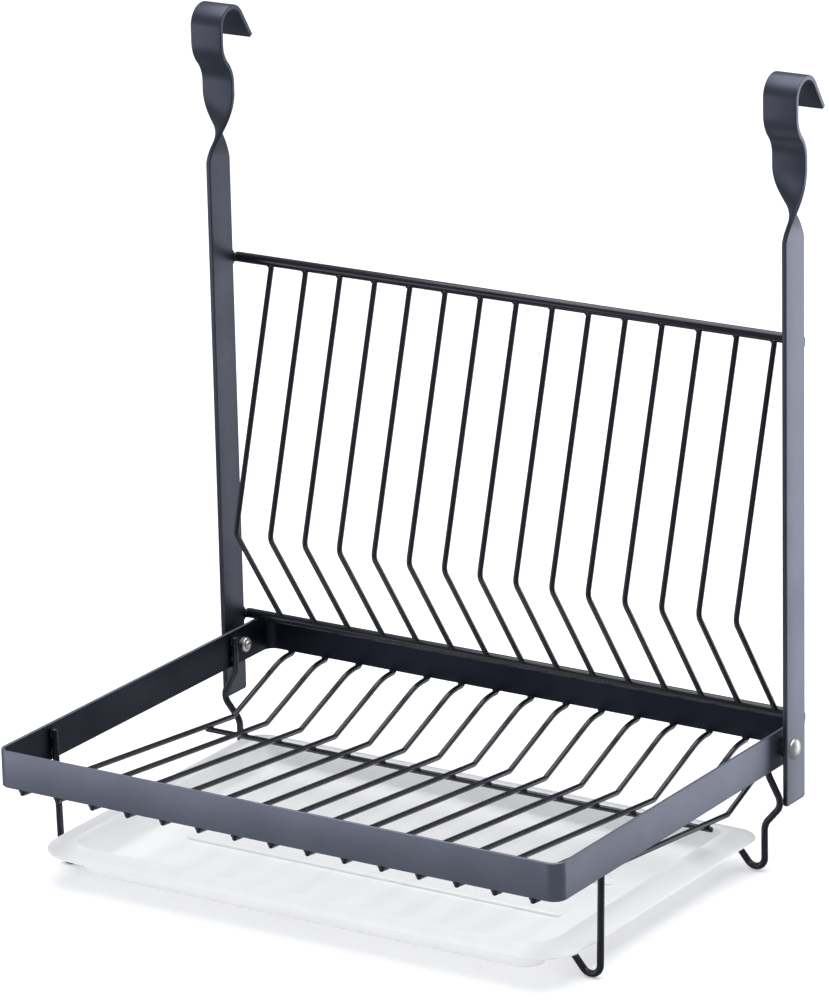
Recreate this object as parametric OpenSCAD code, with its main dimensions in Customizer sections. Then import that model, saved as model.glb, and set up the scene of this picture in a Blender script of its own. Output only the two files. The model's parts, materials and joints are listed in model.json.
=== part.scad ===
// Fold-down dish drying rack that hangs by two hooks on a kitchen rail.
// Origin: the rail's axis, midway between the two hooks.
// +X runs along the rail to the right, +Y goes to the wall, +Z is up.

/* [Flat bars and hooks] */
// Distance over the outer faces of the two uprights
overall_w = 384; // [380:1:392]
// Width of the flat bar
bar_w = 21; // [18:1:22]
// Thickness of the flat bar
bar_t = 3; // [2.5:0.5:3.5]
// Inside radius of the hook, which is the largest rail radius it takes
rail_r = 9.5; // [8:0.5:11]
// Length of the straight leg behind the rail
hook_leg = 19; // [14:1:24]
// Angle of that rear leg from vertical
hook_splay = 33; // [20:1:40]
// Height of the straight front leg below the rail's axis
front_leg = 9; // [6:1:14]
// Height of the S bend that brings the bar back under the rail
jog_h = 25; // [22:1:30]
// Flat length between the S bend and the twist
collar_h = 7; // [4:1:12]
// Length of the quarter twist
twist_h = 40; // [32:1:50]
// How much nearer the middle the hooks stand than the bars below the twist
hook_in = 2; // [0:0.5:3]

/* [Back frame] */
// Depth of the pivot axis below the rail's axis
pivot_drop = 377; // [360:1:400]
// Length of upright below the pivot axis
tail_h = 32.5; // [28:0.5:36]
// Diameter of the two crossbars
rod_d = 6; // [5:0.5:7]
// Height of the top crossbar above the pivot axis
top_rod_rise = 235; // [220:1:250]
// Diameter of the plate wires and the floor wires
wire_d = 3.2; // [2.5:0.1:3.4]
// Spacing of the wires
wire_pitch = 24; // [22:0.5:24]
// Sideways offset of the plate wires from the floor wires, so that they pass when folded
plate_wire_shift = 4; // [3.6:0.2:6]
// How far the knee of a plate wire stands in front of the pivot axis
knee_out = 30.5; // [26:0.5:32]
// Height of that knee above the pivot axis
knee_rise = 81; // [70:1:95]

/* [Fold-down basket] */
// Outside width of the rim strip
rim_w = 370; // [366:1:374]
// Distance from the pivot axis to the front of the rim strip
rim_front = 245; // [220:1:260]
// Distance from the pivot axis to the back of the rim strip
rim_back = 31; // [28:1:34]
// Height of the rim strip
strip_h = 22; // [20:1:24]
// Thickness of the rim strip
strip_t = 2; // [1.5:0.5:2.5]
// Outside radius of the rim's corners
rim_r = 8; // [8:1:16]
// Depth of the floor wires' low bend below the pivot axis
floor_drop = 32.8; // [26:0.1:36]
// Distance of that low bend in front of the pivot axis
floor_bend = 34; // [28:1:45]
// Distance of the cross wire in front of the pivot axis
cross_wire_out = 57; // [50:1:80]

/* [Support wires] */
// Diameter of the wire legs and tray rails
leg_d = 4; // [3.5:0.5:4.5]
// Distance of the front legs in front of the pivot axis
front_leg_out = 194; // [180:1:205]
// Depth of the underside of the feet below the pivot axis
foot_drop = 72.5; // [71:0.5:76]

/* [Drip tray] */
// Width over the tray's lip
tray_w = 350; // [345:1:352]
// Distance from the pivot axis to the front of the lip
tray_front = 233; // [225:1:240]
// Distance from the pivot axis to the back of the lip
tray_back = 2; // [2:1:20]
// Depth of the tray from its crest to the underside of its floor
tray_h = 17; // [15:1:20]
// Wall thickness of the tray
tray_t = 2; // [1.6:0.2:2.4]

/* [Pivots] */
// Diameter of the pivot screws
screw_d = 5; // [4:0.5:5]
// Diameter of the domed screw heads
head_d = 12.4; // [10:0.2:13]
// Height of the domed screw heads
head_h = 2.8; // [2:0.2:3.2]
// Distance across the flats of the nuts
nut_af = 8; // [7:0.5:9]

/* [Hidden] */
// Number of plate wires, and of floor wires
WIRES = 15;
MIDDLE = 8;
// Running gap between pieces that move past each other
GAP = 0.3;
// A bend is this much thicker than the wire, whose straights reach this far into it
SWELL = 0.04;
LAP = 0.2;
// The pivot axis lies a little in front of the rail's axis
pivot_y = -3;
pivot_z = -pivot_drop;
// Middle plane of the flat bars
bar_y = -1;
bar_back = bar_y + bar_w / 2;
upright_in = overall_w / 2 - bar_t;
rod_r = rod_d / 2;
wire_r = wire_d / 2;
leg_r = leg_d / 2;
// Both crossbars are welded to the back edges of the uprights
rod_y = bar_back + rod_r - pivot_y;
// The bottom crossbar is the stop that the rim strip rises against
low_rod_rise = strip_h / 2 + GAP + rod_r;
rod_len = overall_w - 4;
side_in = rim_w / 2 - strip_t;
leg_x = side_in - leg_r;
foot_x = leg_x - 2;
// The rear legs stand just in front of the uprights, which stop their outward bump
rear_leg_out = -(bar_y - bar_w / 2 - pivot_y) + leg_r + 0.4;
rail_x = 159;
// The feet are bends of this radius; the wire then rises inwards to the tray's rail
foot_r = 6;
foot_rise = 50;
foot_corner = foot_drop - leg_r + foot_r * (tan(45 + foot_rise / 2) - 1);
rail_drop = foot_corner - (foot_x - rail_x) * tan(foot_rise);
jog_y = -(rail_r + bar_t / 2) - bar_y;
jog_angle = 2 * atan(abs(jog_y) / jog_h);
jog_radius = jog_h / (2 * sin(jog_angle));
strap_top = -front_leg - jog_h;
twist_top = strap_top - collar_h;
twist_bottom = twist_top - twist_h;
spacer_t = upright_in - rim_w / 2 - 2 * GAP;
// Heights in the tray, from the pivot axis
tray_crest = -49;
tray_lip = -53;
tray_floor = tray_crest - tray_h;
// How far the tray's wall stands in from its lip: at the crest, and at the floor
crest_in = 15.5;
floor_in = 23.5;
front_crest_in = 13;
front_floor_in = 14;
lip_r = 28;
// The tray's rear corners are this much tighter than its front corners
BACK_SHARE = 0.55;

PLATE_WIRES = [for (i = [1:WIRES]) str("plate_wire_", i < 10 ? "0" : "", i)];
FLOOR_WIRES = [for (i = [1:WIRES]) str("floor_wire_", i < 10 ? "0" : "", i)];

// ---- geometry helpers ----

function unit(v) = v / norm(v);

// A straight round bar from a to b
module rod_between(a, b, d) {
    v = b - a;
    tilt = acos(v.z / norm(v));
    turn = atan2(v.y, v.x);
    translate(a) rotate([0, tilt, turn]) cylinder(h = norm(v), d = d, $fn = 32);
}

// A quarter-torus or other elbow: round wire bent about the corner p, between
// the directions u (coming in) and w (going out), at centre-line radius r
module elbow(p, u, w, r, d) {
    angle = acos(u * w);
    set_back = r * tan(angle / 2);
    axis = unit(cross(u, w));
    out = unit(cross(u, axis));
    centre = p - u * set_back - out * r;
    multmatrix([
        [out.x, u.x, axis.x, centre.x],
        [out.y, u.y, axis.y, centre.y],
        [out.z, u.z, axis.z, centre.z],
        [0, 0, 0, 1]
    ])
        rotate_extrude(angle = angle, $fn = 64)
            translate([r, 0]) circle(d = d + SWELL, $fn = 32);
}

// Distance that the bend at point i takes off each of its two straights
function set_back(pts, i, radii) =
    i == 0 || i == len(pts) - 1 ? 0
    : radii[i] * tan(acos(unit(pts[i] - pts[i - 1]) * unit(pts[i + 1] - pts[i])) / 2);

// Wire through the points pts, with the centre-line bend radius radii[i] at point i
module bent_wire(pts, radii, d) {
    for (i = [0:len(pts) - 2]) {
        u = unit(pts[i + 1] - pts[i]);
        rod_between(
            pts[i] + u * max(0, set_back(pts, i, radii) - LAP),
            pts[i + 1] - u * max(0, set_back(pts, i + 1, radii) - LAP),
            d
        );
    }
    for (i = [1:len(pts) - 2])
        elbow(pts[i], unit(pts[i] - pts[i - 1]), unit(pts[i + 1] - pts[i]), radii[i], d);
}

// Places children in the pivot's frame: x along the rail, y back, z up
module at_pivot() {
    translate([0, pivot_y, pivot_z]) children();
}

// Flat ring sector of mean radius r and width t, from angle a0 to a1 in degrees
module arc_strip(r, t, a0, a1) {
    far = 3 * r;
    intersection() {
        difference() {
            circle(r = r + t / 2, $fn = 96);
            circle(r = r - t / 2, $fn = 96);
        }
        polygon(concat(
            [[0, 0]],
            [for (k = [0:4]) let (a = a0 + (a1 - a0) * k / 4) [far * cos(a), far * sin(a)]]
        ));
    }
}

// Rectangle with rounded corners, tighter ones at the back, between x = +-w/2 and y = y0..y1
module round_rect(w, y0, y1, r) {
    back_r = r * BACK_SHARE;
    hull()
        for (side = [-1, 1]) {
            translate([side * (w / 2 - r), y0 + r]) circle(r = r, $fn = 48);
            translate([side * (w / 2 - back_r), y1 - back_r]) circle(r = back_r, $fn = 48);
        }
}

// ---- back frame ----

// Side profile of hook and S bend, drawn in the Y-Z plane
module hook_profile() {
    r = rail_r + bar_t / 2;
    thin = bar_t - SWELL;
    end = [r * cos(hook_splay), r * sin(hook_splay)];
    lap_angle = LAP / jog_radius * 180 / PI;
    arc_strip(r, bar_t, hook_splay, 180);
    translate(end) rotate(hook_splay - 90)
        translate([-LAP, -thin / 2]) square([hook_leg + LAP, thin]);
    translate([-r - thin / 2, -front_leg - LAP]) square([thin, front_leg + 2 * LAP]);
    translate([-r + jog_radius, -front_leg]) arc_strip(jog_radius, bar_t, 180, 180 + jog_angle);
    translate([bar_y - jog_radius, strap_top])
        arc_strip(jog_radius, thin, -lap_angle, jog_angle + lap_angle);
    translate([bar_y - bar_t / 2, twist_top]) square([bar_t, collar_h]);
}

// One upright, made at x = 0, with its pivot hole; side is -1 for left and 1 for right.
// The twist turns about a line beside the bar, which brings the hook nearer the middle.
module upright(side) {
    shift = side * hook_in / 2;
    translate([-2 * shift, 0, 0])
        rotate([90, 0, 90]) linear_extrude(bar_w, center = true) hook_profile();
    translate([-shift, bar_y - shift, twist_bottom])
        linear_extrude(twist_h, twist = -90, slices = 18)
            translate([shift, shift]) square([bar_t - SWELL, bar_w - SWELL], center = true);
    difference() {
        translate([-bar_t / 2, bar_y - bar_w / 2, pivot_z - tail_h])
            cube([bar_t, bar_w, twist_bottom - pivot_z + tail_h]);
        translate([-bar_t, pivot_y, pivot_z])
            rotate([0, 90, 0]) cylinder(h = 2 * bar_t, d = screw_d, $fn = 48);
    }
}

module place_upright(side) {
    color("slategray") translate([side * (overall_w - bar_t) / 2, 0, 0]) upright(side);
}

// A crossbar, along X, at a height above the pivot axis
module crossbar(rise) {
    color("slategray") at_pivot()
        translate([-rod_len / 2, rod_y, rise])
            rotate([0, 90, 0]) cylinder(h = rod_len, d = rod_d, $fn = 48);
}

// Cuts a wire's end to the round of a crossbar
module crossbar_void(x, rise) {
    translate([x - wire_d, rod_y, rise])
        rotate([0, 90, 0]) cylinder(h = 2 * wire_d, d = rod_d, $fn = 48);
}

// Plate wire i: from the top crossbar forward to its knee, back to the bottom one
module plate_wire(i) {
    x = (i - MIDDLE) * wire_pitch + plate_wire_shift;
    color("slategray") at_pivot()
        difference() {
            bent_wire(
                [[x, rod_y, top_rod_rise], [x, -knee_out, knee_rise], [x, rod_y, low_rod_rise]],
                [0, 8, 0],
                wire_d
            );
            crossbar_void(x, top_rod_rise);
            crossbar_void(x, low_rod_rise);
        }
}

// ---- pivots ----

// Dome-headed screws: head outside the uprights, shank through the rim strip
module pivot_screws() {
    sphere_r = (head_d * head_d / 4 + head_h * head_h) / (2 * head_h);
    shank = overall_w / 2 - side_in + 5;
    color("silver") at_pivot()
        for (side = [-1, 1])
            rotate([0, side * 90, 0]) {
                translate([0, 0, overall_w / 2 - shank])
                    cylinder(h = shank, d = screw_d - 0.2, $fn = 48);
                translate([0, 0, overall_w / 2])
                    intersection() {
                        cylinder(h = head_h, d = head_d, $fn = 48);
                        translate([0, 0, head_h - sphere_r]) sphere(r = sphere_r, $fn = 96);
                    }
            }
}

// Spacer washers between the uprights and the rim strip
module pivot_spacers() {
    color("dimgray") at_pivot()
        for (side = [-1, 1])
            rotate([0, side * 90, 0]) translate([0, 0, rim_w / 2 + GAP])
                difference() {
                    cylinder(h = spacer_t + GAP, d = 11, $fn = 48);
                    translate([0, 0, -1]) cylinder(h = spacer_t + 3, d = screw_d, $fn = 48);
                }
}

// Hexagon nuts inside the rim strip
module pivot_nuts() {
    nut_h = 3.6;
    color("silver") at_pivot()
        for (side = [-1, 1])
            rotate([0, side * 90, 0]) translate([0, 0, side_in - GAP - nut_h])
                difference() {
                    cylinder(h = nut_h, d = nut_af / cos(30), $fn = 6);
                    translate([0, 0, -1])
                        cylinder(h = nut_h + 2, d = screw_d - 0.2, $fn = 48);
                }
}

// ---- fold-down basket ----

// The rim: a flat strip on edge, bent into a rounded rectangle, with two pivot holes
module basket_rim() {
    color("slategray") at_pivot()
        difference() {
            translate([0, 0, -strip_h / 2])
                linear_extrude(strip_h) difference() {
                    round_rect_exact(rim_w, -rim_front, rim_back, rim_r);
                    round_rect_exact(
                        rim_w - 2 * strip_t, strip_t - rim_front, rim_back - strip_t,
                        rim_r - strip_t
                    );
                }
            translate([-rim_w, 0, 0])
                rotate([0, 90, 0]) cylinder(h = 2 * rim_w, d = screw_d, $fn = 48);
        }
}

// Rounded rectangle from squares and circles, so that its corners stay true arcs
module round_rect_exact(w, y0, y1, r) {
    translate([-w / 2, y0 + r]) square([w, y1 - y0 - 2 * r]);
    translate([-w / 2 + r, y0]) square([w - 2 * r, y1 - y0]);
    for (x = [-w / 2 + r, w / 2 - r], y = [y0 + r, y1 - r])
        translate([x, y]) circle(r = r, $fn = 96);
}

// Floor wire i: under the back strip, steeply down to a low bend, then up to the front
module floor_wire(i) {
    x = (i - MIDDLE) * wire_pitch;
    weld_z = -strip_h / 2 - wire_r;
    back_bend_r = 40;
    color("slategray") at_pivot()
        bent_wire(
            [
                [x, rim_back, weld_z],
                [x, rim_back - 12, weld_z],
                [x, -floor_bend, -floor_drop],
                [x, -rim_front, weld_z]
            ],
            [0, back_bend_r, 3.5, 0],
            wire_d
        );
}

// One wire across, welded under the floor wires just in front of their low bend
module floor_cross_wire() {
    slope = (floor_drop - strip_h / 2 - wire_r) / (rim_front - floor_bend);
    z = -floor_drop + (cross_wire_out - floor_bend) * slope - wire_d;
    half = (WIRES - 1) / 2 * wire_pitch + 3.5;
    color("slategray") at_pivot()
        rod_between([-half, -cross_wire_out, z], [half, -cross_wire_out, z], wire_d);
}

// One side's wire: front leg, foot, tray rail, rear foot, rear leg with its stop bump
module support_wire(side) {
    weld_top = 8;
    front = [
        [leg_x, -front_leg_out, weld_top],
        [foot_x, -front_leg_out, -foot_corner],
        [rail_x, -front_leg_out, -rail_drop]
    ];
    rear = [
        [rail_x, -rear_leg_out, -rail_drop],
        [foot_x, -rear_leg_out, -foot_corner],
        [foot_x, -rear_leg_out, -44],
        [upright_in + bar_t / 2, -rear_leg_out, -tail_h + 2],
        [leg_x, -rear_leg_out, -13],
        [leg_x, -rear_leg_out, weld_top]
    ];
    color("slategray") at_pivot()
        scale([side, 1, 1])
            bent_wire(concat(front, rear), [0, foot_r, 5, 5, foot_r, 10, 8, 12, 0], leg_d);
}

// ---- drip tray ----

// Solid between two rounded rectangles, the lower one inset more than the upper
module tray_block(z0, z1, side0, side1, end0, end1, r0, r1) {
    hull() {
        translate([0, 0, z0]) linear_extrude(0.01)
            round_rect(tray_w - 2 * side0, -tray_front + end0, -tray_back - end0, r0);
        translate([0, 0, z1 - 0.01]) linear_extrude(0.01)
            round_rect(tray_w - 2 * side1, -tray_front + end1, -tray_back - end1, r1);
    }
}

// Shell with steep walls, a flange that slopes down to its lip, and two runner ribs
module drip_tray() {
    rib_bottom = -rail_drop + leg_r + GAP;
    color("white") at_pivot() {
        difference() {
            union() {
                tray_block(tray_lip, tray_crest, 0, crest_in, 0, front_crest_in, lip_r, 16);
                tray_block(
                    tray_floor, tray_lip, floor_in, crest_in + tray_t,
                    front_floor_in, front_crest_in, 12, 16
                );
            }
            tray_block(
                tray_floor + tray_t, tray_crest + 0.1, floor_in + tray_t, crest_in + tray_t,
                front_floor_in + tray_t, front_crest_in + tray_t, 10, 14
            );
            // hollow under the flange
            difference() {
                tray_block(
                    tray_lip - 1, tray_crest - tray_t, -2, crest_in - 1,
                    -2, front_crest_in - 1, lip_r, 16
                );
                tray_block(
                    tray_lip - 2, tray_crest, floor_in - 3, crest_in,
                    front_floor_in - 1, front_crest_in, 12, 16
                );
            }
        }
        for (side = [-1, 1])
            translate([side * (rail_x - 0.5) - 1.5, -tray_front + 40, rib_bottom])
                cube([3, tray_front - tray_back - 60, tray_crest - tray_t - rib_bottom + 0.5]);
    }
}

place_upright(-1);  // left_upright
place_upright(1);  // right_upright
crossbar(top_rod_rise);  // top_crossbar
crossbar(low_rod_rise);  // bottom_crossbar
for (i = [1:WIRES])
    plate_wire(i);
pivot_screws();
pivot_spacers();
pivot_nuts();
basket_rim();
for (i = [1:WIRES])
    floor_wire(i);
floor_cross_wire();
support_wire(-1);  // left_support_wire
support_wire(1);  // right_support_wire
drip_tray();
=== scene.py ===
# %% [markdown]
# # A folding dish rack of bent bar and wire
# This rack hangs on a kitchen rail by two hooks. It has a back frame with upright wires that hold the
# plates apart, a basket that folds up on two screws, and a loose white tray that catches the drips.
# A measured model of every solid is loaded first. Each visible piece is then made again at the same
# place and size, with the rounded edges, bends and weld beads that plain solids lack.

# %% Load the measured frame
import json
import math

import bmesh
import bpy
from mathutils import Matrix, Vector


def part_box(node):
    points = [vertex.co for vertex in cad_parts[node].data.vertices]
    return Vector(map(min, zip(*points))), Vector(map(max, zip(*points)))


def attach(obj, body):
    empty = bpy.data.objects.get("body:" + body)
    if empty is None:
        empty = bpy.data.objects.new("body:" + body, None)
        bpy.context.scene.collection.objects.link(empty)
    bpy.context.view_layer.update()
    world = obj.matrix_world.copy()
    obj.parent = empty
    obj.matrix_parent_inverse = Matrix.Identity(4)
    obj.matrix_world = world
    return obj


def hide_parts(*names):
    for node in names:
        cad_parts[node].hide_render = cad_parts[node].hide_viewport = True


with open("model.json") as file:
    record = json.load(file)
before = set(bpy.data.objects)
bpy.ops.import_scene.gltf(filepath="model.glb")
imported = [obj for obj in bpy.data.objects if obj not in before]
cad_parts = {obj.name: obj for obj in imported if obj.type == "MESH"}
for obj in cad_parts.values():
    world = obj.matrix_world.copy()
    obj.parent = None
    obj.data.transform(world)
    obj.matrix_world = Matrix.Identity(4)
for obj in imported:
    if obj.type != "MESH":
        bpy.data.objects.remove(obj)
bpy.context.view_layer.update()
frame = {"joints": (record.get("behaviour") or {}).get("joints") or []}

# %% [markdown]
# ## Places to work from
# Wire work is easiest to think about from the pivot, because everything that folds turns about it.
# Blender works in metres, so one helper turns millimetres from the pivot into a point in the scene.

# %% The pivot and a helper for millimetres
MM = 0.001
joints = {joint["name"]: joint for joint in frame["joints"]}
pivot = Vector(joints["basket_fold"]["pos_m"])


def from_pivot(x, y, z):
    """A point given in millimetres from the middle of the pivot axis."""
    return pivot + Vector((x, y, z)) * MM


print("pivot axis at", [round(v, 3) for v in pivot])

# %% [markdown]
# ## One mesh from many cross-sections
# A bar, a wire and a hoop are all the same idea: a small outline that travels along a path. Curve
# objects with a bevel do this too, but they twist freely. Here each outline is placed one by one, so
# that a flat bar keeps its width in the right direction through bends and twists. Afterwards all
# faces are turned to look outwards, because an outline may run either way round.

# %% A skin over a row of outlines
def turn_faces_outwards(mesh):
    """Makes every face of a closed mesh look outwards."""
    work = bmesh.new()
    work.from_mesh(mesh)
    bmesh.ops.recalc_face_normals(work, faces=work.faces)
    work.to_mesh(mesh)
    work.free()


def skin(name, loops, closed=False, smooth_angle=40):
    """Joins a row of outlines with the same number of points into one mesh."""
    count = len(loops[0])
    points = [p for loop in loops for p in loop]
    faces = []
    for k in range(len(loops) if closed else len(loops) - 1):
        a, b = k * count, (k + 1) % len(loops) * count
        for i in range(count):
            j = (i + 1) % count
            faces.append((a + i, a + j, b + j, b + i))
    if not closed:
        faces.append(tuple(reversed(range(count))))
        faces.append(tuple(range(len(points) - count, len(points))))
    mesh = bpy.data.meshes.new(name)
    mesh.from_pydata([tuple(p) for p in points], [], faces)
    mesh.validate()
    turn_faces_outwards(mesh)
    piece = bpy.data.objects.new(name, mesh)
    bpy.context.collection.objects.link(piece)
    mesh.shade_smooth()
    mesh.set_sharp_from_angle(angle=math.radians(smooth_angle))
    return piece


def finish_piece(piece, material, slot_name, body, *nodes):
    """Gives a piece its finish and the body it moves with, and hides the solids it stands for."""
    piece.data.materials.append(material)
    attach(piece, body)
    if nodes:
        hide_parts(*nodes)
    return piece


print("helpers:", skin.__name__, finish_piece.__name__)

# %% [markdown]
# ## Outlines
# Rolled flat bar has slightly rounded edges, and paint rounds them more. A perfectly sharp edge would
# catch no light, so the outline of the bar is a rectangle with small rounded corners.

# %% Round and flat-bar outlines
def ring(centre, across, up, radius, sides=20):
    """Points of a circle in the plane of the directions across and up."""
    turn = 2 * math.pi / sides
    return [
        centre + across * (radius * math.cos(turn * i)) + up * (radius * math.sin(turn * i))
        for i in range(sides)
    ]


def bar_outline(centre, wide, thick, half_width, half_thickness, edge, steps=4):
    """Points of a rectangle with rounded corners, half_width along wide."""
    edge = min(edge, half_thickness * 0.95, half_width * 0.95)
    points = []
    for quarter, (sw, st) in enumerate([(1, 1), (-1, 1), (-1, -1), (1, -1)]):
        for i in range(steps + 1):
            angle = math.pi / 2 * (quarter + i / steps)
            w = sw * (half_width - edge) + edge * math.cos(angle)
            t = st * (half_thickness - edge) + edge * math.sin(angle)
            points.append(centre + wide * w + thick * t)
    return points


sample = bar_outline(Vector(), Vector((1, 0, 0)), Vector((0, 1, 0)), 10, 2, 1)
print("a bar's outline has", len(sample), "points")

# %% [markdown]
# ## Bent wire
# Wire is bent round a pin, so each corner of its path becomes an arc. The path is given by its sharp
# corners and the radius of each bend. The outline is carried along with the least turning from one
# step to the next, which keeps the skin free of twist.

# %% Wire through a list of corners
def rounded_path(corners, radii, steps=10):
    """The corners' path with each inner corner replaced by an arc of its radius."""
    path = [corners[0]]
    for before, corner, after, radius in zip(corners, corners[1:], corners[2:], radii[1:-1]):
        u, v = (corner - before).normalized(), (after - corner).normalized()
        angle = u.angle(v)
        inward = (v - u * u.dot(v)).normalized()
        centre = corner - u * (radius * math.tan(angle / 2)) + inward * radius
        for i in range(steps + 1):
            a = angle * i / steps
            path.append(centre - inward * (radius * math.cos(a)) + u * (radius * math.sin(a)))
    return path + [corners[-1]]


# How the end of a wire narrows: (distance from the end, width), as shares of the radius
WIRE_END = [(0.0, 0.55), (0.12, 0.8), (0.3, 0.93), (0.6, 1.0)]


def wire(name, corners, radii, diameter, sides=20):
    """A round wire through corners, with ends that are softly rounded by the paint."""
    path = rounded_path(corners, radii)
    radius = diameter / 2
    loops = []
    along = (path[1] - path[0]).normalized()
    across = along.orthogonal().normalized()
    for k, point in enumerate(path):
        before = (point - path[k - 1]).normalized() if k else along
        after = (path[k + 1] - point).normalized() if k + 1 < len(path) else before
        tangent = (before + after).normalized()
        across = (across - tangent * across.dot(tangent)).normalized()
        up = tangent.cross(across)
        if k == 0:
            for back, share in WIRE_END:
                loops.append(ring(point + tangent * (back * radius), across, up, radius * share, sides))
        elif k + 1 == len(path):
            for back, share in reversed(WIRE_END):
                loops.append(ring(point - tangent * (back * radius), across, up, radius * share, sides))
        else:
            loops.append(ring(point, across, up, radius, sides))
    return skin(name, loops, smooth_angle=60)


elbow = rounded_path([Vector(p) for p in ((0, 0, 0), (1, 0, 0), (1, 1, 0))], [0, 0.3, 0])
print("a path with one bend has", len(elbow), "points")

# %% [markdown]
# ## Building blocks of a finish
# Every finish here is made of the same few parts: noise in the object's own space, a ramp that turns
# the noise into two close shades, a range that turns it into roughness, and a little relief. Small
# functions for them keep each finish short, and no unwrapping is needed.

# %% Nodes shared by all finishes
def new_finish(name, roughness, metallic=0.0):
    """A material with its main shader, and the object's own coordinates as a start."""
    material = bpy.data.materials.new(name)
    material.use_nodes = True
    nodes, links = material.node_tree.nodes, material.node_tree.links
    shader = nodes["Principled BSDF"]
    shader.inputs["Roughness"].default_value = roughness
    shader.inputs["Metallic"].default_value = metallic
    place = nodes.new("ShaderNodeTexCoord").outputs["Object"]
    return material, nodes, links, shader, place


def noise(nodes, links, place, scale, detail=3.0):
    """Cloudy noise with about `scale` clouds in a metre."""
    cloud = nodes.new("ShaderNodeTexNoise")
    cloud.inputs["Scale"].default_value = scale
    cloud.inputs["Detail"].default_value = detail
    links.new(place, cloud.inputs["Vector"])
    return cloud.outputs["Fac"]


def blend_colours(nodes, links, factor, low, high, dark=0.35, light=0.65):
    """Turns noise into a colour between two shades."""
    ramp = nodes.new("ShaderNodeValToRGB")
    ramp.color_ramp.elements[0].position, ramp.color_ramp.elements[1].position = dark, light
    ramp.color_ramp.elements[0].color = (*low, 1)
    ramp.color_ramp.elements[1].color = (*high, 1)
    links.new(factor, ramp.inputs["Fac"])
    return ramp.outputs["Color"]


def rough_between(nodes, links, factor, low, high):
    """Turns noise into a roughness between two values."""
    spread = nodes.new("ShaderNodeMapRange")
    spread.inputs["To Min"].default_value, spread.inputs["To Max"].default_value = low, high
    links.new(factor, spread.inputs["Value"])
    return spread.outputs["Result"]


def bump(nodes, links, height, strength, distance):
    """Raises the surface a little where height is bright."""
    relief = nodes.new("ShaderNodeBump")
    relief.inputs["Strength"].default_value = strength
    relief.inputs["Distance"].default_value = distance
    links.new(height, relief.inputs["Height"])
    return relief.outputs["Normal"]


print("finish helpers:", [f.__name__ for f in (noise, blend_colours, rough_between, bump)])

# %% [markdown]
# ## The paint
# The metal has a satin powder coating in slate blue. Such a coating is full of fine metal-like
# flakes, so it shines blue-grey where it mirrors something bright and looks nearly black where it
# mirrors nothing. Its skin is never quite flat: it has a faint orange-peel texture. All coats come
# from one recipe. The middle, shaded and wire slates are darker copies of the light slate: painted
# shade for the uprights, the inside of the rim and the wires. The wires are also glossier, because
# paint flows smooth on a thin round wire.

# %% Slate paint and three copies with painted shade
def orange_peel(nodes, links, shader, place, smooth, rough):
    """The coat's fine texture, in its roughness and in its relief."""
    peel = noise(nodes, links, place, 900, 2)
    links.new(rough_between(nodes, links, peel, smooth, rough), shader.inputs["Roughness"])
    links.new(bump(nodes, links, peel, 0.12, 0.0002), shader.inputs["Normal"])


def powder_coat(name, low, high, smooth, rough, metallic):
    """A satin coat between the colours low and high, and the roughnesses smooth and rough."""
    material, nodes, links, shader, place = new_finish(name, smooth, metallic)
    patches = noise(nodes, links, place, 18, 4)
    links.new(blend_colours(nodes, links, patches, low, high), shader.inputs["Base Color"])
    orange_peel(nodes, links, shader, place, smooth, rough)
    return material


LIGHT_SLATE = (0.190, 0.200, 0.255), (0.230, 0.240, 0.300)
# the middle slate is a darker copy of the light slate: painted shade for the left upright and for the
# faces of the right upright that don't look along +X
HALF_SHADE_SLATE = (0.064, 0.069, 0.094), (0.084, 0.090, 0.118)
# the shaded slate is a nearly black copy of the light slate: painted shade for the inside of the rim
SHADED_SLATE = (0.018, 0.021, 0.034), (0.028, 0.031, 0.046)
# the wire slate is a near-black copy of the light slate: painted shade for the dark surroundings that
# the wires mirror
SHADED_WIRE_SLATE = (0.010, 0.011, 0.017), (0.016, 0.018, 0.026)
paint = powder_coat("slate_powder_coat", *LIGHT_SLATE, 0.38, 0.48, 0.85)
shaded_wire_paint = powder_coat("shaded_wire_coat", *SHADED_WIRE_SLATE, 0.24, 0.32, 0.4)
wire_shader = shaded_wire_paint.node_tree.nodes["Principled BSDF"]
wire_shader.inputs["Coat Weight"].default_value = 0.4
wire_shader.inputs["Coat Roughness"].default_value = 0.14
shaded_paint = powder_coat("shaded_slate_coat", *SHADED_SLATE, 0.42, 0.52, 0.95)
half_shade_paint = powder_coat("half_shade_slate_coat", *HALF_SHADE_SLATE, 0.36, 0.46, 0.8)
print("coats:", [coat.name for coat in (paint, shaded_wire_paint, shaded_paint, half_shade_paint)])

# %% [markdown]
# ## Light painted by facing on one bar
# The outer side of the right upright catches more light than its front and its hook, and the colour
# paints that light in. Where the bar twists, the painted shade has to pass smoothly into the painted
# light. So the colour follows the direction in which the surface looks: a range of the normal's X
# turns the dark tone into the light one.

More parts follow.
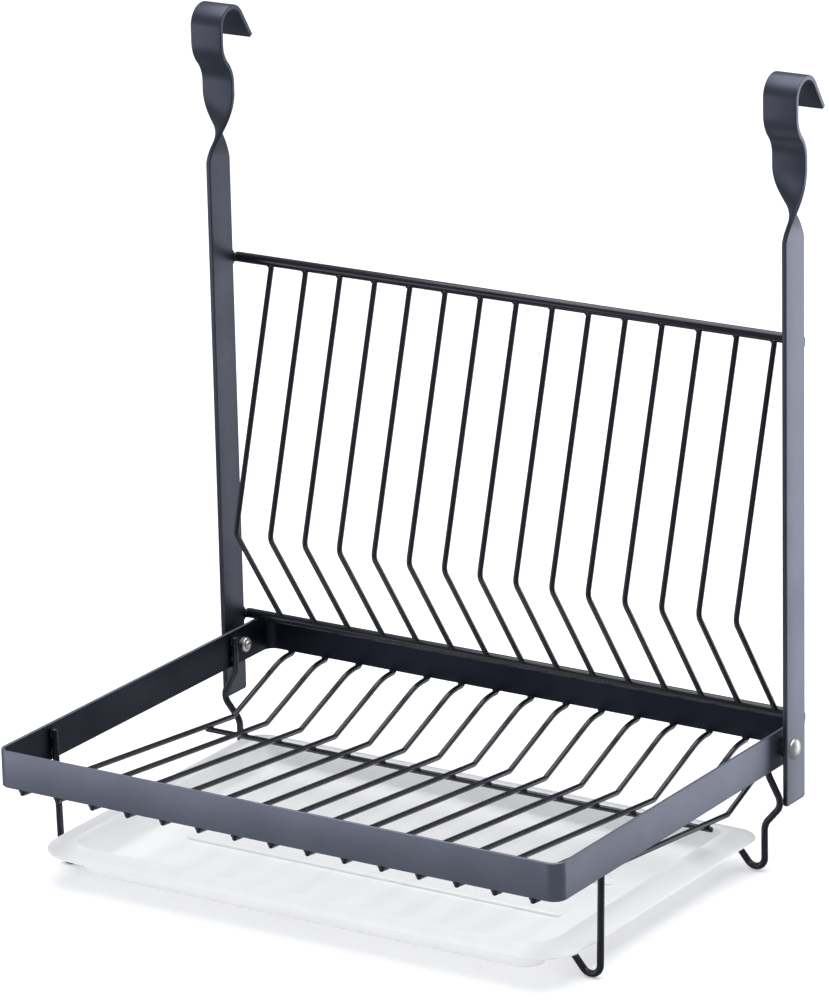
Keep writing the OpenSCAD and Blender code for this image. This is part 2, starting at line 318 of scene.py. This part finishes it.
# %% The coat with light painted by facing
def facing_light_coat():
    """The middle slate as painted shade, with the light slate as painted light on surfaces that look
    along +X.
    """
    # painted light and shade: the colour depends on the direction the surface looks
    material, nodes, links, shader, place = new_finish("facing_light_slate_coat", 0.38, 0.83)
    patches = noise(nodes, links, place, 18, 4)
    dark = blend_colours(nodes, links, patches, *HALF_SHADE_SLATE)
    light = blend_colours(nodes, links, patches, *LIGHT_SLATE)
    direction = nodes.new("ShaderNodeSeparateXYZ")
    links.new(nodes.new("ShaderNodeTexCoord").outputs["Normal"], direction.inputs[0])
    share = nodes.new("ShaderNodeMapRange")
    share.inputs["From Min"].default_value, share.inputs["From Max"].default_value = 0.3, 0.95
    links.new(direction.outputs["X"], share.inputs["Value"])
    mix = nodes.new("ShaderNodeMix")
    mix.data_type = "RGBA"
    # of this node's many sockets, 6 and 7 are its two colours and output 2 is the mixed one
    links.new(share.outputs["Result"], mix.inputs["Factor"])
    links.new(dark, mix.inputs[6])
    links.new(light, mix.inputs[7])
    links.new(mix.outputs[2], shader.inputs["Base Color"])
    orange_peel(nodes, links, shader, place, 0.38, 0.48)
    return material


facing_light_paint = facing_light_coat()
print("coat:", facing_light_paint.name)

# %% [markdown]
# ## Painted shade on some faces
# The inside of the rim sees little light and looks almost black, so its faces wear a nearly black
# copy of the slate: painted shade. A mesh can hold several materials, and each face has the number
# of the one it wears. A small helper gives the second one to every face that passes a test.

# %% Painted shade by a test
def shade_faces_where(piece, material, is_second):
    """Gives a second finish, here painted shade, to the faces for which is_second(centre, normal)
    holds.
    """
    piece.data.materials.append(material)
    chosen = [f for f in piece.data.polygons if is_second(f.center, f.normal)]
    for face in chosen:
        face.material_index = 1
    return len(chosen)


print("helper:", shade_faces_where.__name__)

# %% [markdown]
# ## Nickel, black nylon and white plastic
# The screws are bright nickel with fine turning marks. The spacers are black nylon. The tray is
# moulded from white polypropylene: soft gloss, with a very faint mottle from the mould. Each gets
# noise of a size that suits it, since a perfectly even surface looks unreal. A little light also
# passes through thin white plastic, so the tray has a touch of subsurface scattering.

# %% Nickel, nylon and tray plastic
def bright_nickel():
    """Plated metal with turning marks and a little tarnish."""
    material, nodes, links, shader, place = new_finish("bright_nickel", 0.2, 1.0)
    marks = noise(nodes, links, place, 1400, 2)
    tarnish = noise(nodes, links, place, 240, 3)
    colour = blend_colours(nodes, links, tarnish, (0.66, 0.65, 0.63), (0.80, 0.79, 0.77))
    links.new(colour, shader.inputs["Base Color"])
    links.new(rough_between(nodes, links, marks, 0.32, 0.46), shader.inputs["Roughness"])
    links.new(bump(nodes, links, marks, 0.1, 0.0001), shader.inputs["Normal"])
    return material


def black_nylon():
    """Dull black plastic with a fine grain."""
    material, nodes, links, shader, place = new_finish("black_nylon", 0.6)
    grain = noise(nodes, links, place, 1200, 2)
    colour = blend_colours(nodes, links, grain, (0.010, 0.010, 0.012), (0.022, 0.022, 0.025))
    links.new(colour, shader.inputs["Base Color"])
    links.new(bump(nodes, links, grain, 0.2, 0.0001), shader.inputs["Normal"])
    return material


def white_polypropylene():
    """Moulded white plastic that lets a little light in."""
    material, nodes, links, shader, place = new_finish("white_polypropylene", 0.35)
    mottle = noise(nodes, links, place, 25, 3)
    skin_grain = noise(nodes, links, place, 700, 2)
    colour = blend_colours(nodes, links, mottle, (0.92, 0.92, 0.925), (0.95, 0.95, 0.953))
    links.new(colour, shader.inputs["Base Color"])
    links.new(rough_between(nodes, links, skin_grain, 0.30, 0.42), shader.inputs["Roughness"])
    links.new(bump(nodes, links, skin_grain, 0.05, 0.0001), shader.inputs["Normal"])
    shader.inputs["Subsurface Weight"].default_value = 0.08
    shader.inputs["Subsurface Radius"].default_value = (0.004, 0.004, 0.004)
    return material


nickel, nylon, plastic = bright_nickel(), black_nylon(), white_polypropylene()
print("finishes:", nickel.name, nylon.name, plastic.name)

# %% [markdown]
# ## The uprights
# Each upright is one flat bar. It starts as a plain bar on edge, is given a quarter twist, bends
# back in a flat S, and ends in the hook. The outline is placed at every station of that journey. The
# twist eases in and out, as real steel does when it is gripped at two places and turned.

# %% Sizes of the flat bar
BAR_WIDTH, BAR_THICKNESS, BAR_EDGE = 21 * MM, 3 * MM, 0.7 * MM
BAR_Y = -1 * MM
TAIL = 32.5 * MM
TWIST_BOTTOM, TWIST_TOP = -81 * MM, -41 * MM
JOG_BOTTOM, JOG_TOP = -34 * MM, -9 * MM
HOOK_RADIUS = 11 * MM
HOOK_SPLAY = math.radians(33)
HOOK_LEG = 19 * MM
# the hooks stand this much nearer the middle than the bars below the twist
HOOK_IN = 2 * MM
S_STEPS, HOOK_STEPS = 12, 32


def hook_stations():
    """(y, z, direction) down the bar's middle, from the S bend to the end of the hook."""
    back, rise = HOOK_RADIUS + BAR_Y, JOG_TOP - JOG_BOTTOM
    lean = 2 * math.atan(back / rise)
    bend = rise / (2 * math.sin(lean))
    out = []
    for i in range(S_STEPS + 1):
        a = lean * i / S_STEPS
        out.append((BAR_Y - bend + bend * math.cos(a), JOG_BOTTOM + bend * math.sin(a), a))
    for i in range(S_STEPS + 1):
        a = lean * (1 - i / S_STEPS)
        out.append((-HOOK_RADIUS + bend - bend * math.cos(a), JOG_TOP - bend * math.sin(a), a))
    for i in range(HOOK_STEPS + 1):
        a = math.pi - (math.pi - HOOK_SPLAY) * i / HOOK_STEPS
        out.append((HOOK_RADIUS * math.cos(a), HOOK_RADIUS * math.sin(a), a - math.pi))
    y, z, a = out[-1]
    for share in (0.5, 0.96, 1.0):
        reach = HOOK_LEG * share
        out.append((y + reach * math.sin(HOOK_SPLAY), z - reach * math.cos(HOOK_SPLAY), a))
    return out


print("stations from the S bend to the end of the hook:", len(hook_stations()))

# %% [markdown]
# ## From the foot to the hook
# The same outline now travels up the whole bar. Near the foot it grows from a slightly smaller one,
# which rounds the cut end. In the twist it turns by a quarter, and an eased step moves it towards the
# middle. A plain screw modifier couldn't do both at once.

# %% One upright, outline by outline
# (rise above the foot, narrower by, thinner by) in mm, for the rounded cut end
FOOT_END = [(0, 1.6, 0.7), (0.15, 1.0, 0.35), (0.5, 0.4, 0.12), (1.4, 0, 0)]
# how much narrower and thinner the bar is at the very end of the hook
HOOK_TIP = 0.7 * MM, 0.5 * MM
TWIST_STEPS = 40


def eased(share):
    """A step from 0 to 1 that starts and ends gently."""
    return share * share * (3 - 2 * share)


def upright(name, x, side):
    """One upright; side is -1 for the left one and 1 for the right one."""
    loops = []

    def place(centre, wide, thick, narrow=0.0, thin=0.0):
        """Adds one outline of the bar, with its width along wide."""
        loops.append(bar_outline(
            centre, wide, thick, BAR_WIDTH / 2 - narrow, BAR_THICKNESS / 2 - thin, BAR_EDGE))

    foot = pivot.z - TAIL
    for rise, narrow, thin in FOOT_END:
        place(Vector((x, BAR_Y, foot + rise * MM)), Vector((0, 1, 0)), Vector((1, 0, 0)),
              narrow * MM, thin * MM)
    for i in range(TWIST_STEPS + 1):
        share = i / TWIST_STEPS
        a = math.pi / 2 * (0.4 * share + 0.6 * eased(share))
        shifted = x - side * HOOK_IN * eased(share)
        place(Vector((shifted, BAR_Y, TWIST_BOTTOM + (TWIST_TOP - TWIST_BOTTOM) * share)),
              Vector((-math.sin(a), math.cos(a), 0)), Vector((math.cos(a), math.sin(a), 0)))
    stations = hook_stations()
    for k, (y, z, a) in enumerate(stations):
        tip = HOOK_TIP if k + 1 == len(stations) else (0.0, 0.0)
        place(Vector((x - side * HOOK_IN, y, z)), Vector((-1, 0, 0)),
              Vector((0, math.cos(a), math.sin(a))), *tip)
    return skin(name, loops, smooth_angle=35)


for side, node in ((-1, "left_upright"), (1, "right_upright")):
    low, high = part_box(node)
    outer = high.x if side > 0 else low.x
    middle = outer - side * (BAR_WIDTH / 2 - HOOK_IN)
    # the left upright wears the middle slate as painted shade; the right one wears the coat with light
    # painted by facing
    coat = facing_light_paint if side > 0 else half_shade_paint
    bar = finish_piece(upright(node + "_bar", middle, side), coat, "paint", "back_frame", node)
    print(bar.name, "at x =", round(middle / MM, 1), "mm,", len(bar.data.polygons), "faces")

# %% [markdown]
# ## Crossbars
# Two round rods are welded across the back edges of the uprights. They hold the frame square and
# carry the plate wires. Their ends are cut off flat and softened by the paint. A cylinder would do
# as well, but the wire helper already makes that kind of end.

# %% The two crossbars
ROD_SIDES = 28
for node in ("top_crossbar", "bottom_crossbar"):
    low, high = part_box(node)
    middle = (low + high) / 2
    ends = [Vector((low.x, middle.y, middle.z)), Vector((high.x, middle.y, middle.z))]
    rod = wire(node + "_rod", ends, [0, 0], high.z - low.z, ROD_SIDES)
    finish_piece(rod, shaded_wire_paint, "paint", "back_frame", node)
    print(rod.name, round((high.x - low.x) / MM), "mm long")

# %% [markdown]
# ## Plate wires
# Fifteen wires run from the top crossbar down and forward to a knee, then back to the bottom
# crossbar. The plates lean between them. All are bent the same, so one list of corners serves all.

# %% Plate wires
WIRE = 3.2 * MM
WIRES = 15
rod_y = (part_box("top_crossbar")[0].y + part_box("top_crossbar")[1].y) / 2
top_rod_z = (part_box("top_crossbar")[0].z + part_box("top_crossbar")[1].z) / 2
low_rod_z = (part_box("bottom_crossbar")[0].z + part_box("bottom_crossbar")[1].z) / 2
KNEE_OUT, KNEE_UP, KNEE_RADIUS = 30.5, 81, 8 * MM
knee = from_pivot(0, -KNEE_OUT, KNEE_UP)
plate_x = []
for number in range(1, WIRES + 1):
    node = f"plate_wire_{number:02d}"
    low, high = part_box(node)
    x = (low.x + high.x) / 2
    plate_x.append(x)
    corners = [
        Vector((x, rod_y, top_rod_z)),
        Vector((x, knee.y, knee.z)),
        Vector((x, rod_y, low_rod_z)),
    ]
    finish_piece(wire(node + "_bent", corners, [0, KNEE_RADIUS, 0], WIRE),
                 shaded_wire_paint, "paint", "back_frame", node)
print("plate wires:", len(plate_x), "spacing", round((plate_x[1] - plate_x[0]) / MM, 1), "mm")

# %% [markdown]
# ## The basket rim
# The rim is a flat strip set on edge and bent into a rounded rectangle. The outline travels round the
# four corners and closes on itself, so the strip has no ends. Faces that look at the middle of the
# basket get the nearly black coat, which is painted shade.

# %% Rim strip
STRIP_THICKNESS = 2 * MM
RIM_CORNER = 8 * MM
CORNER_STEPS = 14


def rounded_rectangle(half_width, front, back, radius, steps=10, rear_share=1.0):
    """(x, y, outward direction) round a rectangle, whose rear corners may be tighter."""
    stations = []
    for quarter, (sx, sy) in enumerate([(1, 1), (-1, 1), (-1, -1), (1, -1)]):
        r = radius * rear_share if sy > 0 else radius
        cx, cy = sx * (half_width - r), back - r if sy > 0 else front + r
        for i in range(steps + 1):
            a = math.pi / 2 * (quarter + i / steps)
            out = Vector((math.cos(a), math.sin(a), 0))
            stations.append((cx + r * out.x, cy + r * out.y, out))
    return stations


low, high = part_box("basket_rim")
strip_height = high.z - low.z
half_strip = STRIP_THICKNESS / 2
loops = []
for x, y, out in rounded_rectangle(high.x - half_strip, low.y + half_strip, high.y - half_strip,
                                   RIM_CORNER - half_strip, CORNER_STEPS):
    loops.append(bar_outline(Vector((x, y, (low.z + high.z) / 2)), Vector((0, 0, 1)), out,
                             strip_height / 2, half_strip, 0.6 * MM))
rim = finish_piece(skin("basket_rim_strip", loops, closed=True, smooth_angle=35),
                   paint, "paint", "basket", "basket_rim")
rim_middle = (low + high) / 2


def looks_inward(centre, normal):
    """Whether a face of the rim looks at the middle of the basket; its top edge doesn't count."""
    to_middle = Vector((rim_middle.x - centre.x, rim_middle.y - centre.y, 0))
    return normal.z < 0.5 and normal.dot(to_middle) > 0


# the faces that look inward wear the shaded slate as painted shade
inward = shade_faces_where(rim, shaded_paint, looks_inward)
print(rim.name, "strip", round(strip_height / MM), "mm high,", inward, "faces look inward")

# %% [markdown]
# ## Floor wires
# The floor wires hang under the rim. From the back they go steeply down to a low bend, where the
# edge of a plate rests, and then rise gently to the front. One wire across ties them together.

# %% Floor wires and their cross wire
STEEP_PART = 12 * MM
LOW_OUT, LOW_DOWN = 34, 32.8
STEEP_RADIUS, LOW_RADIUS = 40 * MM, 3.5 * MM
rim_low, rim_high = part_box("basket_rim")
weld_z = rim_low.z - WIRE / 2
floor_x = []
for number in range(1, WIRES + 1):
    node = f"floor_wire_{number:02d}"
    low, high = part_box(node)
    x = (low.x + high.x) / 2
    floor_x.append(x)
    back_bend = Vector((x, rim_high.y - STEEP_PART, weld_z))
    low_bend = from_pivot(x / MM, -LOW_OUT, -LOW_DOWN)
    corners = [
        Vector((x, rim_high.y, weld_z)), back_bend, low_bend, Vector((x, rim_low.y, weld_z)),
    ]
    finish_piece(wire(node + "_bent", corners, [0, STEEP_RADIUS, LOW_RADIUS, 0], WIRE),
                 shaded_wire_paint, "paint", "basket", node)
low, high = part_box("floor_cross_wire")
middle = (low + high) / 2
cross = wire("floor_cross_wire_rod",
             [Vector((low.x, middle.y, middle.z)), Vector((high.x, middle.y, middle.z))],
             [0, 0], high.z - low.z)
finish_piece(cross, shaded_wire_paint, "paint", "basket", "floor_cross_wire")
print("floor wires:", len(floor_x), "cross wire", round((high.x - low.x) / MM), "mm")

# %% [markdown]
# ## Support wires
# One long wire on each side makes two feet and the rail that the tray hangs on. Its rear leg has a
# bump that presses on the front edge of the upright: that is what stops the basket when it is down.

# %% Support wires
LEG = 4 * MM
LEG_TOP, FOOT_CORNER, RAIL = 8, -80.985, -57.150
LEG_X, FOOT_X, RAIL_X, BUMP_X = 181, 179, 159, 190.5
FRONT_Y, REAR_Y = -194, -10.9
LEG_RADII = [r * MM for r in (0, 6, 5, 5, 6, 10, 8, 12, 0)]


def support_corners(side):
    """The corners from the top of the front leg, along the rail, to the top of the rear leg."""
    shape = [
        (LEG_X, FRONT_Y, LEG_TOP), (FOOT_X, FRONT_Y, FOOT_CORNER), (RAIL_X, FRONT_Y, RAIL),
        (RAIL_X, REAR_Y, RAIL), (FOOT_X, REAR_Y, FOOT_CORNER), (FOOT_X, REAR_Y, -44),
        (BUMP_X, REAR_Y, -30.5), (LEG_X, REAR_Y, -13), (LEG_X, REAR_Y, LEG_TOP),
    ]
    return [from_pivot(side * x, y, z) for x, y, z in shape]


for side, node in ((-1, "left_support_wire"), (1, "right_support_wire")):
    leg = wire(node + "_bent", support_corners(side), LEG_RADII, LEG)
    finish_piece(leg, shaded_wire_paint, "paint", "basket", node)
    low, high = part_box(node)
    print(leg.name, "lowest", round(min(v.co.z for v in leg.data.vertices) / MM, 1),
          "solid", round(low.z / MM, 1))

# %% [markdown]
# ## Weld beads
# Every crossing of wire and bar is spot-welded, and the paint pools there into a small smooth
# swelling. The beads of one body are collected in one mesh, because they never move against each
# other. A bead is a squashed ball, built ring by ring.

# %% A mesh full of beads
def merge_poles(mesh):
    """Welds the doubled points at the two ends of each bead."""
    work = bmesh.new()
    work.from_mesh(mesh)
    bmesh.ops.remove_doubles(work, verts=work.verts, dist=0.01 * MM)
    work.to_mesh(mesh)
    work.free()


def beads(name, places, body):
    """One mesh with a smooth egg-shaped bead at each (centre, half sizes)."""
    rings, sides = 6, 12  # enough for a bead a few millimetres wide
    points, faces = [], []
    for centre, (rx, ry, rz) in places:
        start = len(points)
        for i in range(rings + 1):
            tilt = math.pi * i / rings
            for j in range(sides):
                turn = 2 * math.pi * j / sides
                points.append(centre + Vector((
                    rx * math.sin(tilt) * math.cos(turn),
                    ry * math.sin(tilt) * math.sin(turn), rz * math.cos(tilt))))
        for i in range(rings):
            for j in range(sides):
                a, b = start + i * sides + j, start + i * sides + (j + 1) % sides
                faces.append((a, a + sides, b + sides, b))
    mesh = bpy.data.meshes.new(name)
    mesh.from_pydata([tuple(p) for p in points], [], faces)
    piece = bpy.data.objects.new(name, mesh)
    bpy.context.collection.objects.link(piece)
    merge_poles(mesh)
    mesh.shade_smooth()
    return finish_piece(piece, shaded_wire_paint, "paint", body)


print("helper:", beads.__name__)

# %% [markdown]
# ## Where the beads sit
# The places follow from the pieces made above. A plate wire has a bead at each crossbar. An upright
# has a tall one behind its edge and a smaller one inside, where the crossbar ends.

# %% Beads of the back frame
def in_mm(x, y, z):
    """The half sizes of a bead, given in millimetres."""
    return x * MM, y * MM, z * MM


PLATE_BEAD = in_mm(2.1, 1.3, 1.3)
TALL_BEAD, INNER_BEAD = in_mm(1.45, 2.0, 4.6), in_mm(1.6, 2.2, 2.9)
# how far each kind of bead sits in front of the rod's middle, and above or below it
PLATE_FORWARD, PLATE_ASIDE, INNER_FORWARD = in_mm(2.0, 2.4, 1.4)
back_places = []
for x in plate_x:
    for z in (top_rod_z - PLATE_ASIDE, low_rod_z + PLATE_ASIDE):
        back_places.append((Vector((x, rod_y - PLATE_FORWARD, z)), PLATE_BEAD))
tall_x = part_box("top_crossbar")[1].x + 0.5 * MM
inner_x = tall_x - 1.6 * MM
behind_y = BAR_Y + BAR_WIDTH / 2 + 0.5 * MM
for side in (-1, 1):
    for z in (top_rod_z, low_rod_z):
        back_places.append((Vector((side * tall_x, behind_y, z)), TALL_BEAD))
        back_places.append((Vector((side * inner_x, rod_y - INNER_FORWARD, z)), INNER_BEAD))
back_beads = beads("back_frame_weld_beads", back_places, "back_frame")
print(back_beads.name, len(back_places))

# %% [markdown]
# ## Beads of the basket
# Each floor wire is welded under the rim in front and behind, and to the cross wire in between. Each
# leg has two beads, one above the other, on the inner side of the rim.

# %% Beads of the basket
RIM_BEAD, CROSS_BEAD = in_mm(2.6, 1.25, 1.5), in_mm(1.9, 1.9, 0.9)
LEG_BEAD, LEG_BEAD_X = in_mm(0.9, 2.6, 3.2), 182.1
basket_places = []
cross_low, cross_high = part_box("floor_cross_wire")
cross_y, cross_z = (cross_low.y + cross_high.y) / 2, (cross_low.z + cross_high.z) / 2
for x in floor_x:
    for y in (rim_low.y + half_strip, rim_high.y - half_strip):
        basket_places.append((Vector((x, y, rim_low.z - 0.4 * MM)), RIM_BEAD))
    basket_places.append((Vector((x, cross_y, cross_z + WIRE / 2)), CROSS_BEAD))
for side in (-1, 1):
    for y in (FRONT_Y, REAR_Y):
        for z in (5, -5):
            basket_places.append((from_pivot(side * LEG_BEAD_X, y, z), LEG_BEAD))
basket_beads = beads("basket_weld_beads", basket_places, "basket")
print(basket_beads.name, len(basket_places))

# %% [markdown]
# ## Pivots
# The basket turns on two dome-headed screws. Between upright and rim sits a thin spacer, and a nut
# holds the screw on the inside. Round parts like these are outlines too: circles whose radius
# changes along the screw's axis.

# %% Two helpers for round parts
ROUND_SIDES = 40


def turned(name, profile, side):
    """A turned part on the pivot axis: profile is a list of (distance out in x, radius) in mm."""
    loops = []
    for out, radius in profile:
        centre = from_pivot(side * out, 0, 0)
        across, up = Vector((0, side, 0)), Vector((0, 0, 1))
        loops.append(ring(centre, across, up, radius * MM, ROUND_SIDES))
    return skin(name, loops, smooth_angle=30)


def join(name, parts):
    """Makes one piece out of several."""
    bpy.ops.object.select_all(action="DESELECT")
    for part in parts:
        part.select_set(True)
    bpy.context.view_layer.objects.active = parts[0]
    bpy.ops.object.join()
    parts[0].name = parts[0].data.name = name
    return parts[0]


print("helpers:", turned.__name__, join.__name__)

# %% [markdown]
# ## Profiles of the pivot parts
# Each profile starts inside the basket and runs outwards, or starts at a hole and goes round the
# part. The dome is an arc of a flattened circle. The left part is the right one mirrored, and each
# pair is joined into one piece, as in the measured model.

# %% Screws, spacers and nuts
def screw(side):
    """A screw through rim and upright, with a domed head outside."""
    face, head, height = 192.0, 6.2, 2.8
    dome = [(face + height * math.sin(a), head * math.cos(a))
            for a in [math.radians(d) for d in (18, 30, 42, 54, 66, 78, 87)]]
    profile = [(178.0, 1.6), (178.2, 2.1), (178.7, 2.4), (face - 0.1, 2.4), (face, 5.9)]
    profile += [(face + 0.25, 6.15)] + dome
    return turned("screw", profile, side)


screws = join("pivot_screw_pair", [screw(-1), screw(1)])
finish_piece(screws, nickel, "nickel", "back_frame", "pivot_screws")


def spacer(side):
    """A washer between rim and upright."""
    profile = [(185.35, 3.0), (185.35, 5.2), (185.6, 5.5),
               (188.7, 5.5), (188.95, 5.2), (188.95, 3.0)]
    return turned("spacer", profile, side)


spacers = join("pivot_spacer_pair", [spacer(-1), spacer(1)])
finish_piece(spacers, nylon, "spacer", "back_frame", "pivot_spacers")


def nut(side):
    """A rounded nut on the inside of the rim."""
    profile = [(182.7, 4.3), (182.5, 4.45), (179.8, 4.45), (179.3, 4.1), (179.1, 3.5), (179.25, 2.6),
               (179.7, 2.45)]
    return turned("nut", profile, side)


nuts = join("pivot_nut_pair", [nut(-1), nut(1)])
finish_piece(nuts, nickel, "nickel", "back_frame", "pivot_nuts")
print("pivot parts:", screws.name, spacers.name, nuts.name)

# %% [markdown]
# ## The drip tray
# A thin-walled moulding is one continuous skin. Its section is drawn once: across the floor, up the
# inside of the wall, over the crest, down the sloping flange to the lip, back underneath and down
# the outside. At each point of the section there is one rounded rectangle, and skinning them gives
# the tray. A subdivision surface then rounds every edge evenly.

# %% Tray section and skin
tray_low, tray_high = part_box("drip_tray")
half = tray_high.x
# the two rear corners are tighter than the front ones by this factor
REAR_SHARE = 0.55
# side inset, front inset, height from the pivot, corner radius: all in mm
TRAY_SECTION = [
    (70, 70, -64.0, 40), (50, 46, -64.0, 26), (39, 31, -64.0, 15), (34, 24, -64.0, 10),
    (29.5, 19.5, -64.0, 8), (26.4, 16.8, -63.3, 11),
    (24.9, 15.8, -61.3, 12), (20.4, 15.4, -54.8, 14), (18.3, 15.2, -51.0, 15),
    (17.2, 14.8, -49.5, 16), (16.0, 13.8, -49.05, 17), (14.0, 12.0, -49.3, 18),
    (8.0, 7.0, -50.7, 22), (2.2, 2.0, -52.3, 27), (0.5, 0.5, -53.0, 28), (0.05, 0.05, -53.7, 28),
    (0.4, 0.4, -54.4, 28), (1.6, 1.6, -54.3, 27), (8.0, 7.0, -52.6, 22), (14.6, 11.2, -51.3, 18),
    (17.2, 12.6, -52.0, 16), (18.6, 13.0, -54.5, 15), (22.6, 13.8, -63.0, 13),
    (23.8, 14.6, -65.3, 12), (26.5, 17.5, -66.0, 10), (34, 24, -66.0, 10), (39, 31, -66.0, 15),
    (50, 46, -66.0, 26), (70, 70, -66.0, 40),
]
loops = []
for side_in, front_in, z, radius in TRAY_SECTION:
    stations = rounded_rectangle(
        half - side_in * MM, tray_low.y + front_in * MM, tray_high.y - front_in * MM,
        radius * MM, 6, REAR_SHARE)
    loops.append([Vector((x, y, pivot.z + z * MM)) for x, y, out in stations])
tray = skin("drip_tray_shell", list(reversed(loops)), smooth_angle=80)
rounding = tray.modifiers.new("rounding", "SUBSURF")
rounding.levels = rounding.render_levels = 2
finish_piece(tray, plastic, "tray", "tray", "drip_tray")
print(tray.name, "from", [round(v / MM) for v in tray_low], "to", [round(v / MM) for v in tray_high])

# %% [markdown]
# ## Ribs and runners
# The tray's floor has two low moulded ribs that run from side to side, and two runners sit under the
# flange on the rails. They are slim bars with rounded edges that sink a little into the shell.

# %% Ribs and runners
# (share of the length, share of the full section), for the rounded ends of a bar
BAR_ENDS = ((0, 0.4), (0.004, 0.8), (0.012, 1), (0.988, 1), (0.996, 0.8), (1, 0.4))


def slim_bar(name, start, end, wide, half_width, half_height):
    """A straight bar with rounded edges and ends."""
    along = (end - start).normalized()
    up = along.cross(wide).normalized()
    loops = []
    for share, shrink in BAR_ENDS:
        loops.append(bar_outline(start.lerp(end, share), wide, up, half_width * shrink,
                                 half_height * shrink, half_height * 0.9))
    return skin(name, loops, smooth_angle=50)


RIB_END, RIB_Z = 125, -63.9
RUNNER_X, RUNNER_Z = 158.7, -52.9
ribs = []
for y in (-145, -90):
    ribs.append(slim_bar("rib", from_pivot(-RIB_END, y, RIB_Z), from_pivot(RIB_END, y, RIB_Z),
                         Vector((0, 1, 0)), 3.2 * MM, 1.5 * MM))
floor_ribs = finish_piece(join("tray_floor_ribs", ribs), plastic, "tray", "tray")
runners = []
for side in (-1, 1):
    runners.append(slim_bar("runner", from_pivot(side * RUNNER_X, -190, RUNNER_Z),
                            from_pivot(side * RUNNER_X, -26, RUNNER_Z),
                            Vector((1, 0, 0)), 1.3 * MM, 2.1 * MM))
tray_runners = finish_piece(join("tray_runners", runners), plastic, "tray", "tray")
print("tray details:", floor_ribs.name, tray_runners.name)

# %% [markdown]
# ## The pale floor
# Small goods are shown on a seamless pale sweep. A very large plane does the same, and a little light
# of its own keeps it white in the shadows. It is left out of mirrored rays and of shadow rays. So the
# dark paint mirrors the lamps alone, and the low side lamps shine through from below.

# %% Pale floor
FLOOR_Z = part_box("left_support_wire")[0].z


def pale_floor():
    """A large plane under the feet, which belongs to the stage and not to the rack."""
    size = 30
    mesh = bpy.data.meshes.new("floor")
    mesh.from_pydata([(-size, -size, 0), (size, -size, 0), (size, size, 0), (-size, size, 0)],
                     [], [(0, 1, 2, 3)])
    floor = bpy.data.objects.new("floor", mesh)
    floor.location.z = FLOOR_Z
    bpy.context.collection.objects.link(floor)
    material, nodes, links, shader, place = new_finish("pale_sweep", 0.9)
    colour = blend_colours(nodes, links, noise(nodes, links, place, 3, 2),
                           (0.88, 0.88, 0.885), (0.90, 0.90, 0.905))
    links.new(colour, shader.inputs["Base Color"])
    shader.inputs["Specular IOR Level"].default_value = 0.1
    mesh.materials.append(material)
    shader.inputs["Emission Color"].default_value = (1, 1, 1, 1)
    shader.inputs["Emission Strength"].default_value = 0.32
    floor.visible_glossy = floor.visible_shadow = False
    return floor


pale_floor()
print("floor at z =", round(FLOOR_Z / MM, 1), "mm")

# %% [markdown]
# ## Soft light
# A broad lamp above gives soft light and a nearly white floor. Two low panels, in front at the left
# and behind at the right, give the bars and the wires something bright to mirror. They are weak,
# because the metal shows them almost directly. A faint bluish world fills what is left.

# %% Lamps and world
def soft_light(name, place, target, size, watts):
    """A rectangular lamp at place that shines towards target."""
    data = bpy.data.lights.new(name, "AREA")
    data.shape = "RECTANGLE"
    data.size, data.size_y = size
    data.energy = watts
    light = bpy.data.objects.new(name, data)
    light.location = place
    light.rotation_euler = (Vector(target) - Vector(place)).to_track_quat("-Z", "Y").to_euler()
    bpy.context.collection.objects.link(light)
    return light


# name, place, target, width and height, watts
soft_light("overhead", (0.0, 0.2, 2.6), (0, 0, -0.3), (4.0, 4.0), 140)
soft_light("front_left", (-1.35, -1.5, -0.45), (-0.1, -0.2, -0.35), (1.5, 0.9), 5.6)
soft_light("back_right", (0.90, 1.25, -0.42), (0.19, 0, -0.25), (1.0, 1.4), 6.2)
world = bpy.data.worlds.new("studio")
world.use_nodes = True
world.node_tree.nodes["Background"].inputs["Color"].default_value = (0.85, 0.9, 1.0, 1)
world.node_tree.nodes["Background"].inputs["Strength"].default_value = 0.26
bpy.context.scene.world = world
bpy.context.scene.view_settings.view_transform = "Standard"

# %% [markdown]
# ## Camera
# The camera stands more than three metres away with a long lens, so the verticals stay nearly
# parallel. Its turn is built from three directions: forward, right and up. A small roll tilts the
# last two.

# %% Camera
AZIMUTH, ELEVATION, ROLL = math.radians(32.78), math.radians(17.60), math.radians(-1.27)
CAMERA_PLACE, LENS = (1.6981, -2.7310, 0.7613), 211.29


def long_lens_camera():
    """A camera with a long lens, turned by azimuth, elevation and roll."""
    forward = Vector((-math.sin(AZIMUTH) * math.cos(ELEVATION),
                      math.cos(AZIMUTH) * math.cos(ELEVATION), -math.sin(ELEVATION)))
    right = Vector((math.cos(AZIMUTH), math.sin(AZIMUTH), 0))
    up = right.cross(forward)
    rolled_right = right * math.cos(ROLL) + up * math.sin(ROLL)
    rolled_up = up * math.cos(ROLL) - right * math.sin(ROLL)
    data = bpy.data.cameras.new("camera")
    data.lens, data.sensor_width = LENS, 36
    data.clip_start, data.clip_end = 0.1, 60
    camera = bpy.data.objects.new("camera", data)
    turn = Matrix((rolled_right, rolled_up, -forward)).transposed()
    camera.matrix_world = Matrix.Translation(CAMERA_PLACE) @ turn.to_4x4()
    bpy.context.collection.objects.link(camera)
    bpy.context.scene.camera = camera
    return camera


camera = long_lens_camera()
print("camera at", [round(v, 2) for v in camera.matrix_world.translation])
